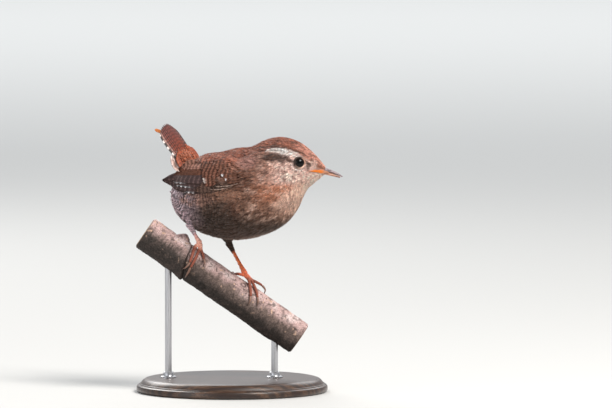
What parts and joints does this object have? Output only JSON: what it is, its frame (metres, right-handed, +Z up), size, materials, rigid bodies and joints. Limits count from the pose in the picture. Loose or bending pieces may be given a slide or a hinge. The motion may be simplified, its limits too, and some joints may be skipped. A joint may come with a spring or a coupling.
{
  "type": "wren display model",
  "caption": "Life-size wren with a cocked tail that grips a short cut length of branch, held over a round flat base by slim upright rods.",
  "frame": {"origin": "centre of the underside of the stand's round base", "axes": "+Z up, +X the way the bill points and the branch falls, -Y the side towards the viewer, the bird's right"},
  "size_m": [0.0974, 0.09, 0.1254],
  "materials": {
    "plumage": "soft warm-brown body feathers, barred and mottled, matt",
    "wing_feathers": "dark brown flight feathers barred rufous and buff, slightly silky",
    "tail_feathers": "rufous tail feathers with narrow dark bars, slightly silky",
    "eye": "black, wet gloss",
    "bill_horn": "dark grey-brown horn, satin",
    "bill_pink": "pinkish horn, satin",
    "leg_skin": "scaly pinkish-orange skin, satin",
    "claw_horn": "brown horn, satin",
    "bark": "grey-brown bark mottled pinkish, pale cut ends, matt",
    "walnut": "dark stained wood, satin varnish",
    "steel": "brushed"
  },
  "bodies": {
    "root": {"trunk": "plumage", "neck": "plumage", "head": "plumage", "thigh_left": "plumage", "thigh_right": "plumage", "wing_left": "wing_feathers", "wing_right": "wing_feathers", "tail": "tail_feathers", "eye_left": "eye", "eye_right": "eye", "bill_upper": "bill_horn", "bill_lower": "bill_pink", "leg_left": "leg_skin", "leg_right": "leg_skin", "claw_left_1": "claw_horn", "claw_left_2": "claw_horn", "claw_left_3": "claw_horn", "claw_left_4": "claw_horn", "claw_right_1": "claw_horn", "claw_right_2": "claw_horn", "claw_right_3": "claw_horn", "claw_right_4": "claw_horn", "perch": "bark", "stand_base": "walnut", "stand_rod_tall": "steel", "stand_rod_short": "steel"}
  },
  "joints": []
}
